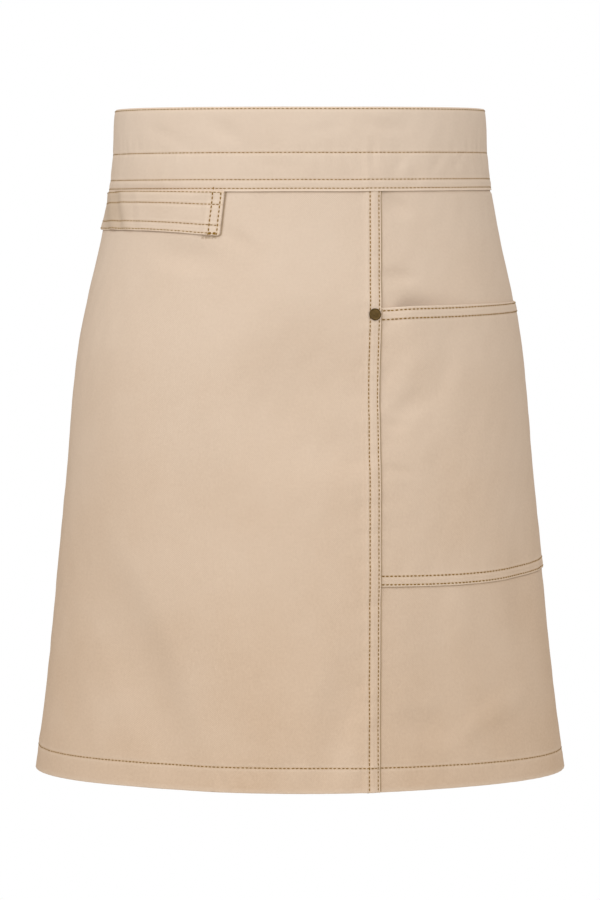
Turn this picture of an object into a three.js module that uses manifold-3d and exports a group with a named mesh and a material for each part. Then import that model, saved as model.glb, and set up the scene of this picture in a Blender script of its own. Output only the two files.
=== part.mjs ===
import * as THREE from 'three';
import { mergeVertices } from 'three/addons/utils/BufferGeometryUtils.js';
import Module from 'manifold-3d';

// Waist apron in its worn form, in millimetres: +Z up, front toward -Y, +X at the viewer's right.
// The origin is the middle of the waist opening, half way up the waistband.
// Every cloth piece is a section (offset outward, height) swept round one worn form.

const { degToRad, radToDeg, lerp, clamp, smoothstep } = THREE.MathUtils;

// Cloth plies
const PLY = 1.0;
const PLY_GAP = 0.3;
const LAYER = PLY + PLY_GAP;

// Heights of the cut lines at the middle of the front
const BAND_TOP = 33.9;
const BAND_LINE = -2.5;
const BAND_EDGE = -34;
const PANEL_TOP = -22;
const POCKET_TOP = -128.2;
const POCKET_EDGE = -351.5;
const HEM_TOP = -493;
const HEM_EDGE = -516.7;

// Ends round the body, in degrees from the middle of the front, positive to the viewer's right
const REAR_END = 135;
const POCKET_END = 104;
const LOOP_END = -104;

// Worn form: half width, depth before and behind the sides, squareness of the plan,
// and how far the level lines rise at the left and right sides
const SECTIONS = [
  { height: -517, halfWidth: 224.2, front: 153, back: 153, square: -0.054, riseLeft: -5.3, riseRight: -5.4 },
  { height: -450, halfWidth: 215.2, front: 148.5, back: 150, square: -0.05, riseLeft: -2, riseRight: -3 },
  { height: -350, halfWidth: 204.6, front: 142, back: 146, square: -0.04, riseLeft: 0, riseRight: 0.8 },
  { height: -260, halfWidth: 195.1, front: 135.5, back: 142, square: -0.03, riseLeft: 0, riseRight: 2.6 },
  { height: -200, halfWidth: 190.0, front: 131, back: 138, square: -0.02, riseLeft: 0, riseRight: 3.6 },
  { height: -160, halfWidth: 185.1, front: 127, back: 134, square: -0.01, riseLeft: 0, riseRight: 4 },
  { height: -120, halfWidth: 177.3, front: 121, back: 128, square: 0, riseLeft: 0, riseRight: 4.1 },
  { height: -80, halfWidth: 168.0, front: 115, back: 118, square: 0.01, riseLeft: 0, riseRight: 3 },
  { height: -34, halfWidth: 158.7, front: 109.4, back: 109, square: 0.02, riseLeft: 0, riseRight: 1.9 },
  { height: 0, halfWidth: 154.5, front: 107.2, back: 106, square: 0.02, riseLeft: 0, riseRight: 1.5 },
  { height: 35, halfWidth: 153.1, front: 105.7, back: 104, square: 0.02, riseLeft: 0.8, riseRight: 0.8 },
];

// Main soft hollows (depth inward) and swells (negative depth) of the front,
// each with its centre, half length, half width and turn from upright
const FOLDS = [
  { x: -122, height: -393, long: 105, wide: 34, turn: 21, depth: 3.0 },
  { x: 12, height: -152, long: 80, wide: 38, turn: 90, depth: 2.2 },
  { x: 34, height: -211, long: 48, wide: 26, turn: 80, depth: -1.4 },
  { x: 22, height: -446, long: 60, wide: 30, turn: -10, depth: 2.2 },
  { x: -90, height: -92, long: 34, wide: 26, turn: 90, depth: 2.0 },
  { x: 104, height: -415, long: 75, wide: 30, turn: 4, depth: 2.4 },
];

// Lapped seam: x of the lap's turned edge at the waist and at the hem, and the lap's widths
const SEAM_X_WAIST = 64.8;
const SEAM_X_HEM = 63.9;
const LAP_COVER = 11.5;
const LAP_RAMP = 26;
const LAP_FADE = 14;
const POCKET_TUCK = 9.5;
const SIDE_TUCK = 10.5;
const LAP_BLEND = 14;
const LAP_MARGIN = 2;
const LAP_STEPS = [20, 15, LAP_COVER, 6, 0];
const UNDER_LAP_STEPS = [5, 0, -7];

// Pocket mouth: its doubled hem, and how it stands open beside the seam
const MOUTH_HEM = 10;
const MOUTH_EXTRA = 0.6;
const MOUTH_X = 90;
const MOUTH_LEFT = 24;
const MOUTH_RIGHT = 72;
const MOUTH_OPEN = 7.5;
const MOUTH_REACH = 150;
const PANEL_DIP = 4.0;
const PANEL_DIP_REACH = 60;

// Pocket foot: how far it sags between the seam and the side, and the height over which that dies out
const FOOT_SAG = 2.8;
const FOOT_SAG_REACH = 110;

// Towel loop: its edges, and how far its top and foot stand off the panel, by angle round the body.
// It hangs upright while the hip slopes outward below it.
const LOOP_PLIES = 1.8;
const LOOP_END_FOLD = 0.9;
const LOOP_END_LENGTH = 13;
const LOOP_END_RAMP = 3;
const LOOP_END_X_TOP = -60.2;
const LOOP_END_X_FOOT = -64.5;
const LOOP = [
  { angle: -104, top: -34.5, foot: -65.4, standTop: 0.0, standFoot: 0.0 },
  { angle: -90, top: -34.5, foot: -65.4, standTop: 0.8, standFoot: 0.2 },
  { angle: -76, top: -34.5, foot: -65.5, standTop: 4.0, standFoot: 1.6 },
  { angle: -62, top: -34.5, foot: -65.9, standTop: 10.5, standFoot: 5.8 },
  { angle: -48, top: -34.5, foot: -66.8, standTop: 13.0, standFoot: 7.6 },
  { angle: -36, top: -34.7, foot: -68.4, standTop: 7.0, standFoot: 4.0 },
  { angle: -27, top: -35.0, foot: -70.0, standTop: 0.4, standFoot: 0.2 },
  { angle: -20, top: -35.2, foot: -71.2, standTop: 0.0, standFoot: 0.0 },
];

// Waistband fold: its rounding as a part of the ply, and the row of facets below it
const FOLD_TURN = 0.6;
const FOLD_ROW = 6;

// Tie
const TIE_TOP = 31;
const TIE_FOOT = 1;

// Rivet
const RIVET_X = 59.6;
const RIVET_HEIGHT = -133.5;
const CAP_RADIUS = 4.9;
const CAP_RIM = 0.8;
const CAP_DOME = 1.3;
const POST_RADIUS = 1.6;
const POST_GAP = 0.4;
const PLATE_RADIUS = 4.0;
const PLATE_THICK = 1.0;
const RIVET_SIDES = 28;
const RIVET_GAP = 0.4;
const RIVET_EDGE = 0.35;
const HOLE_REACH = 12;

// Facets
const FRONT_COLUMNS = 29;
const POCKET_COLUMNS = 15;
const REAR_COLUMNS = 6;
const LOOP_COLUMNS = 22;
const TIE_COLUMNS = 18;
const LOWER_ROWS = 5;
const POCKET_ROWS = 8;
const UPPER_ROWS = 4;

const CLOTH_COLOUR = 0xd6bea6;
const BRASS_COLOUR = 0x6a5430;

function columnTable(rows, key, names) {
  const keys = rows.map((row) => row[key]);
  const values = rows.flatMap((row) => names.map((name) => row[name]));
  const curve = new THREE.CubicInterpolant(keys, values, names.length);
  return (at) => Object.fromEntries(Array.from(curve.evaluate(at), (value, i) => [names[i], value]));
}

const sectionAt = columnTable(
  SECTIONS,
  'height',
  ['halfWidth', 'front', 'back', 'square', 'riseLeft', 'riseRight'],
);
const loopAt = columnTable(LOOP, 'angle', ['top', 'foot', 'standTop', 'standFoot']);

const spread = (from, to, count) => Array.from({ length: count + 1 }, (_, i) => lerp(from, to, i / count));

// Point of the plain worn form at an angle (radians) and height
function formPoint(angle, height) {
  const row = sectionAt(height);
  const swell = 1 + row.square * Math.sin(2 * angle) ** 2;
  const depth = Math.cos(angle) > 0 ? row.front : row.back;
  const side = Math.abs(angle) > Math.PI / 2 ? 1 : Math.sin(angle) ** 2;
  const rise = (angle < 0 ? row.riseLeft : row.riseRight) * side;
  return new THREE.Vector3(
    row.halfWidth * Math.sin(angle) * swell,
    -depth * Math.cos(angle) * swell,
    height + rise,
  );
}

function formNormal(angle, height) {
  const step = 1e-3;
  const along = formPoint(angle + step, height).sub(formPoint(angle - step, height));
  const up = formPoint(angle, height + step).sub(formPoint(angle, height - step));
  return along.cross(up).normalize();
}

// Depth of the soft hollows at a place on the front
function foldDepth(x, height) {
  let depth = 0;
  for (const fold of FOLDS) {
    const turn = degToRad(fold.turn);
    const dx = x - fold.x;
    const dz = height - fold.height;
    const along = (dz * Math.cos(turn) - dx * Math.sin(turn)) / fold.long;
    const across = (dx * Math.cos(turn) + dz * Math.sin(turn)) / fold.wide;
    const away = Math.min(along * along + across * across, 1);
    depth += fold.depth * (1 - away) ** 2;
  }
  return depth;
}

function clothPoint(angle, height, offset) {
  const point = formPoint(angle, height);
  const front = Math.cos(angle) > 0 ? foldDepth(point.x, height) : 0;
  return point.addScaledVector(formNormal(angle, height), offset - front);
}

// Angle at which the front of the form has a given x
function angleAtX(x, height) {
  let low = -Math.PI / 2;
  let high = Math.PI / 2;
  for (let i = 0; i < 40; i++) {
    const middle = (low + high) / 2;
    if (formPoint(middle, height).x < x) low = middle;
    else high = middle;
  }
  return (low + high) / 2;
}

const seamX = (height) => lerp(SEAM_X_HEM, SEAM_X_WAIST, (height - HEM_EDGE) / (BAND_EDGE - HEM_EDGE));
const lapDistance = (angle, height) => seamX(height) - formPoint(angle, height).x;

// Columns: functions of height that give the angle of one line of facets
const atAngle = (degrees) => () => degToRad(degrees);
const beforeLap = (distance) => (height) => angleAtX(seamX(height) - distance, height);

function fan(from, to, count) {
  return spread(0, 1, count).map((part) => (height) => lerp(from(height), to(height), part));
}

// A section swept along columns. Each row of the section is a pair of points (offset, height),
// one on the wall's inner face and one on its outer face.
// lift sets the final offset of a section point, level its final height.
function sweep(section, columns, lift, level = (angle, height) => height) {
  const across = columns.length - 1;
  const up = section.length - 1;
  const geometry = new THREE.BoxGeometry(1, 1, 1, across, up, 1);
  geometry.deleteAttribute('normal');
  geometry.deleteAttribute('uv');
  const position = geometry.attributes.position;
  for (let i = 0; i < position.count; i++) {
    const column = columns[Math.round((position.getX(i) + 0.5) * across)];
    const row = section[Math.round((position.getY(i) + 0.5) * up)];
    const spot = position.getZ(i) > 0 ? row.outer : row.inner;
    const angle = column(spot.y);
    const height = level(angle, spot.y);
    const point = clothPoint(angle, height, lift(angle, height, spot.x));
    position.setXYZ(i, point.x, point.y, point.z);
  }
  return mergeVertices(geometry, 1e-4);
}

const pair = (innerOffset, innerHeight, outerOffset, outerHeight) => ({
  inner: new THREE.Vector2(innerOffset, innerHeight),
  outer: new THREE.Vector2(outerOffset, outerHeight),
});
const wall = (inner, outer, heights) => heights.map((height) => pair(inner, height, outer, height));

// Lift of the lap: one layer over the side panel, two where the pocket's edge is caught as well
function lapLift(angle, height) {
  const distance = lapDistance(angle, height);
  const rising = 1 - smoothstep(distance, LAP_COVER, LAP_RAMP);
  const falling = smoothstep(distance, -LAP_FADE, 0);
  const high = POCKET_TOP + LAP_MARGIN;
  const low = POCKET_EDGE - LAP_MARGIN;
  const above = 1 - smoothstep(height, high, high + LAP_BLEND);
  const below = smoothstep(height, low - LAP_BLEND, low);
  return rising * falling * LAYER * (1 + above * below);
}

// How the pocket mouth swells beside the seam, full at its middle and none at its ends
function mouthBell(x) {
  const reach = x < MOUTH_X ? MOUTH_LEFT : MOUTH_RIGHT;
  return Math.cos(clamp((x - MOUTH_X) / reach, -1, 1) * Math.PI / 2) ** 2;
}

function mouthOpen(angle, height) {
  const down = clamp((POCKET_TOP - height) / MOUTH_REACH, 0, 1);
  return Math.cos(angle) > 0 ? MOUTH_OPEN * mouthBell(formPoint(angle, height).x) * (1 - down) ** 2 : 0;
}

function panelDip(angle, height) {
  const away = clamp(Math.abs(POCKET_TOP - height) / PANEL_DIP_REACH, 0, 1);
  return Math.cos(angle) > 0 ? PANEL_DIP * mouthBell(formPoint(angle, height).x) * (1 - away * away) ** 2 : 0;
}

// Panel section: one ply from the waistband to the hem, its hem turned up inside
const pocketRows = [...spread(POCKET_EDGE, POCKET_TOP - MOUTH_HEM, POCKET_ROWS), POCKET_TOP];
const panelRows = [
  HEM_TOP,
  ...spread(HEM_TOP, POCKET_EDGE, LOWER_ROWS).slice(1, -1),
  ...pocketRows,
  ...spread(POCKET_TOP, BAND_EDGE, UPPER_ROWS).slice(1),
  PANEL_TOP,
];
const hemStep = PLY / 2;
const panelSection = [
  ...wall(-PLY, PLY, [HEM_EDGE, HEM_TOP]),
  ...wall(0, PLY, [HEM_TOP + hemStep, ...panelRows.slice(1)]),
];

const frontColumns = [
  ...fan(atAngle(-REAR_END), beforeLap(LAP_RAMP), FRONT_COLUMNS),
  ...LAP_STEPS.map(beforeLap),
];
const lapSideColumns = UNDER_LAP_STEPS.map(beforeLap);
const pocketFan = fan(beforeLap(-LAP_FADE), atAngle(POCKET_END), POCKET_COLUMNS);
const rearFan = fan(atAngle(POCKET_END), atAngle(REAR_END), REAR_COLUMNS).slice(1);
const pocketColumns = [beforeLap(POCKET_TUCK), ...lapSideColumns, ...pocketFan];
const sideColumns = [beforeLap(SIDE_TUCK), ...pocketColumns, ...rearFan];
const bandColumns = [...frontColumns, lapSideColumns.at(-1), ...pocketFan, ...rearFan];

function frontPanel() {
  return sweep(panelSection, frontColumns, (angle, height, offset) => {
    const covered = lapDistance(angle, height) < LAP_COVER + PLY_GAP;
    return lapLift(angle, height) + (covered ? Math.max(offset, 0) : offset);
  });
}

function sidePanel() {
  return sweep(panelSection, sideColumns, (angle, height, offset) => offset - panelDip(angle, height));
}

function pocket() {
  const outside = LAYER + PLY;
  const hemFoot = POCKET_TOP - MOUTH_HEM;
  const section = [
    ...wall(LAYER, outside, pocketRows.slice(0, -1)),
    ...wall(LAYER, outside + MOUTH_EXTRA, [hemFoot + hemStep, POCKET_TOP]),
  ];
  const level = (angle, height) => {
    const low = 1 - smoothstep(height, POCKET_EDGE, POCKET_EDGE + FOOT_SAG_REACH);
    const side = clamp(angle, 0, Math.PI / 2);
    return height - FOOT_SAG * low * Math.sin(2 * side) ** 2;
  };
  const lift = (angle, height, offset) => {
    const covered = lapDistance(angle, height) > -PLY_GAP;
    return mouthOpen(angle, height) + (covered ? Math.min(offset, outside) : offset);
  };
  return sweep(section, pocketColumns, lift, level);
}

// Waistband: one ply folded over at the top, open below over the panels and open at both ends
function waistband() {
  const rows = [BAND_EDGE, PANEL_TOP, BAND_LINE, (BAND_LINE + BAND_TOP) / 2, BAND_TOP - FOLD_ROW];
  const slot = BAND_TOP - PLY;
  const turn = PLY * FOLD_TURN;
  const inset = PLY_GAP;
  const section = [
    ...wall(LAYER, LAYER + PLY, rows),
    pair(LAYER, slot, LAYER + PLY, BAND_TOP - turn),
    pair(LAYER - inset, slot, LAYER + PLY - turn, BAND_TOP),
    pair(PLY - LAYER + inset, slot, turn - LAYER, BAND_TOP),
    pair(PLY - LAYER, slot, -LAYER, BAND_TOP - turn),
    ...wall(PLY - LAYER, -LAYER, [...rows].reverse()),
  ];
  return sweep(section, bandColumns, (angle, height, offset) => {
    const overLap = offset > PLY ? lapLift(angle, BAND_EDGE) : 0;
    return offset + overLap;
  });
}

// Towel loop: a doubled strap, its front end turned under and sewn down on a slant
function towelLoop() {
  const section = wall(LAYER, LAYER + LOOP_PLIES, spread(0, 1, 3));
  const end = LOOP.at(-1);
  const rowAt = (angle) => loopAt(radToDeg(angle));
  const level = (angle, part) => lerp(rowAt(angle).foot, rowAt(angle).top, part);
  const endX = (part) => lerp(LOOP_END_X_FOOT, LOOP_END_X_TOP, part);
  const beforeEnd = (distance) => (part) => angleAtX(endX(part) - distance, lerp(end.foot, end.top, part));
  const columns = [
    ...fan(atAngle(LOOP_END), beforeEnd(LOOP_END_LENGTH + LOOP_END_RAMP), LOOP_COLUMNS),
    ...[LOOP_END_LENGTH, LOOP_END_LENGTH / 2, 0].map(beforeEnd),
  ];
  const lift = (angle, height, offset) => {
    const row = rowAt(angle);
    const part = (height - row.foot) / (row.top - row.foot);
    const distance = endX(part) - formPoint(angle, height).x;
    const folded = 1 - smoothstep(distance, LOOP_END_LENGTH, LOOP_END_LENGTH + LOOP_END_RAMP);
    const outer = offset > LAYER ? LOOP_END_FOLD * folded : 0;
    return offset + outer + lerp(row.standFoot, row.standTop, part);
  };
  return sweep(section, columns, lift, level);
}

// Tie: one ply through the tunnel ends and across the back
function waistTie() {
  const section = wall(0, PLY, spread(TIE_FOOT, TIE_TOP, 2));
  const columns = [
    rearFan.at(-2),
    ...fan(atAngle(REAR_END), atAngle(360 - REAR_END), TIE_COLUMNS),
    (height) => frontColumns[1](height) + 2 * Math.PI,
  ];
  return sweep(section, columns, (angle, height, offset) => offset);
}

// Rivet: domed cap outside, post through the three plies and plate inside, turned about its own axis
const rivetAngle = angleAtX(RIVET_X, RIVET_HEIGHT);
const rivetNormal = formNormal(rivetAngle, RIVET_HEIGHT);
const rivetSeat = clothPoint(rivetAngle, RIVET_HEIGHT, 0);

function turned(outline) {
  const profile = outline.map(([radius, along]) => new THREE.Vector2(radius, along));
  const geometry = new THREE.LatheGeometry(profile, RIVET_SIDES);
  const turn = new THREE.Quaternion().setFromUnitVectors(new THREE.Vector3(0, 1, 0), rivetNormal);
  geometry.applyQuaternion(turn);
  geometry.translate(rivetSeat.x, rivetSeat.y, rivetSeat.z);
  geometry.deleteAttribute('normal');
  geometry.deleteAttribute('uv');
  return mergeVertices(geometry, 1e-4);
}

function rivet() {
  const plate = -RIVET_GAP;
  const plateFoot = plate - PLATE_THICK;
  const cap = 2 * LAYER + PLY + RIVET_GAP;
  const dome = cap + CAP_RIM;
  return turned([
    [0, plateFoot],
    [PLATE_RADIUS - RIVET_EDGE, plateFoot],
    [PLATE_RADIUS, plateFoot + RIVET_EDGE],
    [PLATE_RADIUS, plate],
    [POST_RADIUS, plate],
    [POST_RADIUS, cap],
    [CAP_RADIUS - RIVET_EDGE, cap],
    [CAP_RADIUS, (cap + dome) / 2],
    [CAP_RADIUS - RIVET_EDGE, dome],
    [CAP_RADIUS * 0.7, dome + CAP_DOME * 0.6],
    [CAP_RADIUS * 0.35, dome + CAP_DOME * 0.93],
    [0, dome + CAP_DOME],
  ]);
}

// Cutting the rivet's hole through a ply
const wasm = await Module();
wasm.setup();

function toSolid(geometry) {
  return new wasm.Manifold(new wasm.Mesh({
    numProp: 3,
    vertProperties: new Float32Array(geometry.attributes.position.array),
    triVerts: new Uint32Array(geometry.index.array),
  }));
}

function pierced(geometry) {
  const radius = POST_RADIUS + POST_GAP;
  const hole = turned([[0, -HOLE_REACH], [radius, -HOLE_REACH], [radius, HOLE_REACH], [0, HOLE_REACH]]);
  const mesh = toSolid(geometry).subtract(toSolid(hole)).getMesh();
  const result = new THREE.BufferGeometry();
  result.setAttribute('position', new THREE.BufferAttribute(new Float32Array(mesh.vertProperties), 3));
  result.setIndex(new THREE.BufferAttribute(new Uint32Array(mesh.triVerts), 1));
  return result;
}

const cloth = () => new THREE.MeshStandardMaterial({ color: CLOTH_COLOUR, roughness: 0.9, metalness: 0 });
const brass = () => new THREE.MeshStandardMaterial({ color: BRASS_COLOUR, roughness: 0.45, metalness: 0.85 });

function piece(name, geometry, material) {
  geometry.computeVertexNormals();
  const mesh = new THREE.Mesh(geometry, material);
  mesh.name = name;
  return mesh;
}

const apron = new THREE.Group();
apron.name = 'waist_apron';
apron.add(
  piece('front_panel', pierced(frontPanel()), cloth()),
  piece('side_panel', pierced(sidePanel()), cloth()),
  piece('pocket', pierced(pocket()), cloth()),
  piece('waistband', waistband(), cloth()),
  piece('towel_loop', towelLoop(), cloth()),
  piece('waist_tie', waistTie(), cloth()),
  piece('rivet', rivet(), brass()),
);

export default apron;
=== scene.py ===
import math
from collections import namedtuple

import bmesh
import bpy
import numpy as np
from mathutils import Matrix, Vector
from mathutils.bvhtree import BVHTree


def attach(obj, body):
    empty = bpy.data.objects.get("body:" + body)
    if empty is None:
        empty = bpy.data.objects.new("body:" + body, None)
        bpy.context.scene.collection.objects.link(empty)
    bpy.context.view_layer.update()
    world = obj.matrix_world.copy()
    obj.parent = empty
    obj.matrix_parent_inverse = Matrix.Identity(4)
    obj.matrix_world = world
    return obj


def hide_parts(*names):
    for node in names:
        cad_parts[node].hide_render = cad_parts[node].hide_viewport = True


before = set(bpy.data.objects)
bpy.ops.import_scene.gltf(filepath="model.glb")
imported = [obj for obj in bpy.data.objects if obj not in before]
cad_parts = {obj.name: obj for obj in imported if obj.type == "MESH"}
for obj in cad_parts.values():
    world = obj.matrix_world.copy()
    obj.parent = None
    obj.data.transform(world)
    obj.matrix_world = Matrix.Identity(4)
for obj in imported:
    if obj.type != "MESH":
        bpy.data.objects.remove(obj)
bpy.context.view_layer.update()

# Waist apron in its worn form, in metres: +Z up, front toward -Y, +X at the viewer's right.
# The origin is the middle of the waist opening, half way up the waistband.
# Every cloth piece is a grid laid on one worn form, at an offset outward from it.

# Cloth plies
PLY = 0.0010
PLY_GAP = 0.0003
LAYER = PLY + PLY_GAP

# Heights of the cut lines at the middle of the front
BAND_TOP = 0.0343
BAND_EDGE = -0.0340
PANEL_TOP = -0.0220
POCKET_TOP = -0.1282
POCKET_EDGE = -0.3504
HEM_TOP = -0.4930
HEM_EDGE = -0.5167

# Ends round the form, in degrees from the middle of the front, positive to the viewer's right
REAR_END = 135
POCKET_END = 104
LOOP_END = -104

# Worn form: half width, depth before and behind the sides, squareness of the plan,
# how far the level lines rise at the left and right sides, and how far the middle leans to the right
Section = namedtuple("Section", "height half_width front back square rise_left rise_right lean")
SECTIONS = [
    Section(-0.517, 0.2248, 0.1530, 0.153, -0.054, -0.0053, -0.0054, 0.0),
    Section(-0.450, 0.2152, 0.1485, 0.150, -0.042, -0.0020, -0.0030, 0.0),
    Section(-0.350, 0.2046, 0.1420, 0.146, -0.018, 0.0000, 0.0008, -0.0005),
    Section(-0.260, 0.1951, 0.1355, 0.142, -0.006, 0.0000, 0.0026, -0.0007),
    Section(-0.200, 0.1900, 0.1310, 0.138, 0.002, 0.0000, 0.0036, -0.0008),
    Section(-0.160, 0.1851, 0.1270, 0.134, 0.008, 0.0000, 0.0040, -0.0006),
    Section(-0.120, 0.1773, 0.1210, 0.128, 0.012, 0.0000, 0.0041, -0.0003),
    Section(-0.080, 0.1680, 0.1150, 0.118, 0.016, 0.0000, 0.0030, 0.0),
    Section(-0.034, 0.1587, 0.1094, 0.109, 0.020, 0.0000, 0.0019, 0.0),
    Section(0.000, 0.1545, 0.1072, 0.106, 0.020, 0.0000, 0.0015, 0.0),
    Section(0.035, 0.1531, 0.1057, 0.104, 0.020, 0.0008, 0.0014, 0.0),
]

# Soft hollows (depth inward) and swells (negative depth) of the front,
# each with its centre, half length, half width and turn from upright in degrees
Fold = namedtuple("Fold", "x height long wide turn depth")
FOLDS = [
    Fold(-0.120, -0.440, 0.140, 0.034, 20, 0.0044),
    Fold(-0.150, -0.440, 0.150, 0.062, 16, 0.0038),
    Fold(-0.142, -0.255, 0.160, 0.046, 0, -0.0026),
    Fold(0.150, -0.235, 0.190, 0.040, 0, -0.0034),
    Fold(-0.172, -0.440, 0.110, 0.026, 12, -0.0014),
    Fold(0.018, -0.198, 0.100, 0.086, 92, 0.0086),
    Fold(0.034, -0.213, 0.050, 0.020, 80, -0.0012),
    Fold(0.029, -0.246, 0.046, 0.022, 80, 0.0016),
    Fold(0.032, -0.462, 0.070, 0.027, -10, 0.0036),
    Fold(0.048, -0.470, 0.060, 0.014, -15, -0.0012),
    Fold(-0.093, -0.087, 0.034, 0.017, 86, 0.0030),
    Fold(-0.048, -0.074, 0.030, 0.010, 56, 0.0012),
    Fold(0.112, -0.440, 0.095, 0.032, 6, 0.0018),
    Fold(0.129, -0.377, 0.045, 0.018, 8, -0.0016),
    Fold(0.103, -0.466, 0.034, 0.018, 70, 0.0028),
    Fold(0.160, -0.459, 0.050, 0.015, -63, -0.0020),
    Fold(0.183, -0.371, 0.055, 0.018, 5, 0.0024),
    Fold(0.091, -0.179, 0.040, 0.015, -36, -0.0012),
    Fold(0.091, -0.206, 0.030, 0.014, -60, 0.0014),
    Fold(0.124, -0.205, 0.050, 0.016, -10, -0.0014),
    Fold(0.077, -0.222, 0.017, 0.006, 75, 0.0011),
    Fold(0.079, -0.259, 0.018, 0.006, 70, 0.0011),
    Fold(0.077, -0.046, 0.019, 0.010, 60, 0.0027),
    Fold(0.079, -0.103, 0.024, 0.009, 85, 0.0024),
    Fold(-0.061, 0.015, 0.022, 0.011, 60, 0.0014),
    Fold(0.067, 0.018, 0.024, 0.009, 80, 0.0014),
    Fold(0.084, 0.010, 0.034, 0.022, 0, 0.0014),
    Fold(0.081, -0.011, 0.013, 0.005, -35, 0.0010),
    Fold(0.111, -0.011, 0.013, 0.005, -35, 0.0010),
    Fold(0.129, -0.009, 0.013, 0.005, -35, 0.0010),
    Fold(-0.020, -0.013, 0.030, 0.006, 84, 0.0006),
    Fold(-0.108, 0.012, 0.026, 0.008, 64, 0.0008),
    Fold(0.020, 0.016, 0.026, 0.007, 100, 0.0006),
]

# Length round the form of one radian, about
GIRTH = 0.17

# Soft unevenness: seeded waves of about one length
Ripple = namedtuple("Ripple", "depth length seed")
UNEVEN_BROAD = Ripple(0.0005, 0.11, 3)
UNEVEN_FINE = Ripple(0.00012, 0.030, 4)
LOOP_UNEVEN = Ripple(0.00020, 0.02, 31)
TIE_UNEVEN = Ripple(0.0004, 0.045, 41)
RIPPLE_WAVES = 6
RIPPLE_SPREAD = (0.7, 1.5)

# Lapped seam: x of the lap's turned edge at the waist and at the hem, and the lap's widths
SEAM_X_WAIST = 0.0648
SEAM_X_HEM = 0.0639
LAP_COVER = 0.0100
LAP_RAMP = 0.0140
LAP_FADE = 0.0140
LAP_BLEND = 0.0140
LAP_MARGIN = 0.0020
POCKET_TUCK = 0.0090
SIDE_TUCK = 0.0095
SEAM_STITCHES = (0.0015, 0.0086)

# Grid lines beside the lap's turned edge, as distances before it
LAP_STEPS = (0.0125, 0.0112, 0.0103, 0.0096, 0.0088, 0.0080, 0.0072, 0.0060)
LAP_STEPS += (0.0048, 0.0038, 0.0031, 0.0023, 0.0015, 0.0008, 0.0)
PAST_LAP_STEPS = (0.0004, -0.0002, -0.0006, -0.0010, -0.0016, -0.0024)
SIDE_STEPS = (SIDE_TUCK, 0.005, *PAST_LAP_STEPS)
SIDE_START = -0.004
POCKET_STEPS = (POCKET_TUCK, 0.005, 0.0014, *PAST_LAP_STEPS)
POCKET_START = -0.0036
BAND_STEPS = (-0.002, -0.005, -0.009)

# Pocket mouth: its doubled hem, and how it stands open beside the seam
MOUTH_HEM = 0.0100
MOUTH_EXTRA = 0.0006
MOUTH_PLIES = 0.0016
POCKET_PRESS = 0.0003
MOUTH_X = 0.0900
MOUTH_LEFT = 0.0240
MOUTH_RIGHT = 0.0720
MOUTH_OPEN = 0.0074
MOUTH_REACH = 0.1150
MOUTH_NARROWS = 0.0012
PANEL_DIP = 0.0034
PANEL_DIP_ABOVE = 0.0130
PANEL_DIP_BELOW = 0.0600
PANEL_DIP_X = 0.0890
PANEL_DIP_LEFT = 0.0150
PANEL_DIP_RIGHT = 0.0350

# Roll of the panels below the waistband, at the sides
SIDE_SWELL_LEFT = 0.0003
SIDE_SWELL_RIGHT = 0.0010
SIDE_SWELL_START = 0.0035
SIDE_SWELL_REACH = 0.0700

# How far the pocket's foot sags between the seam and the side, and how the hem narrows toward each side
FOOT_SAG = 0.0028
FOOT_SAG_REACH = 0.1100
HEM_NARROWS_LEFT = 0.0014
HEM_NARROWS_RIGHT = 0.0036
HEM_NARROWS_REACH = 0.0800

# Towel loop: its edges, and how far its top and foot stand off the panel, by angle round the form
LOOP_PLIES = 0.0015
LOOP_END_FOLD = 0.0009
LOOP_END_LENGTH = 0.0130
LOOP_END_RAMP = 0.0030
LOOP_END_X_TOP = -0.0602
LOOP_END_X_FOOT = -0.0645
LOOP_EASE_TOP = 0.30
LOOP_EASE_FOOT = 0.06
LOOP_OVER_BAND = 0.0012
LOOP_OVER_BAND_RISE = (BAND_EDGE - 0.0050, BAND_EDGE - 0.0005)
LOOP_OVER_BAND_ANGLES = (-82, -62)
LOOP_CORNER = 0.0022
LOOP_SHADOW = 0.0006
LOOP_LOOSE_X = -0.1510
LOOP_LOOSE_WIDTH = 0.0170
LOOP_RIPPLE = 0.0011
LOOP_RIPPLE_LENGTH = 0.0130
LOOP_RIPPLE_SLANT = 0.15
# Painted shade darkening the loose, rippled side end of the strap
LOOP_PAINTED_SHADE = 0.46
LOOP_END_STEPS = (0.0145, 0.013, 0.0115, 0.0102, 0.0096, 0.009, 0.0084, 0.0078, 0.0065, 0.005)
LOOP_END_STEPS += (0.0038, 0.0031, 0.0025, 0.0019, 0.0013, 0.0009, 0.0006, 0.0003, 0.0001, 0.0)
LoopRow = namedtuple("LoopRow", "angle top foot stand_top stand_foot")
LOOP = [
    LoopRow(-104, -0.0346, -0.0655, 0.0000, 0.0000),
    LoopRow(-90, -0.0345, -0.0655, 0.0008, 0.0002),
    LoopRow(-76, -0.0340, -0.0655, 0.0040, 0.0016),
    LoopRow(-62, -0.0331, -0.0655, 0.0105, 0.0058),
    LoopRow(-48, -0.0331, -0.0659, 0.0130, 0.0076),
    LoopRow(-36, -0.0333, -0.0674, 0.0070, 0.0040),
    LoopRow(-27, -0.0336, -0.0692, 0.0004, 0.0002),
    LoopRow(-20, -0.0338, -0.0706, 0.0000, 0.0000),
]

# Tie
TIE_TOP = 0.031
TIE_FOOT = 0.001
TIE_TUCK = 6

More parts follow.
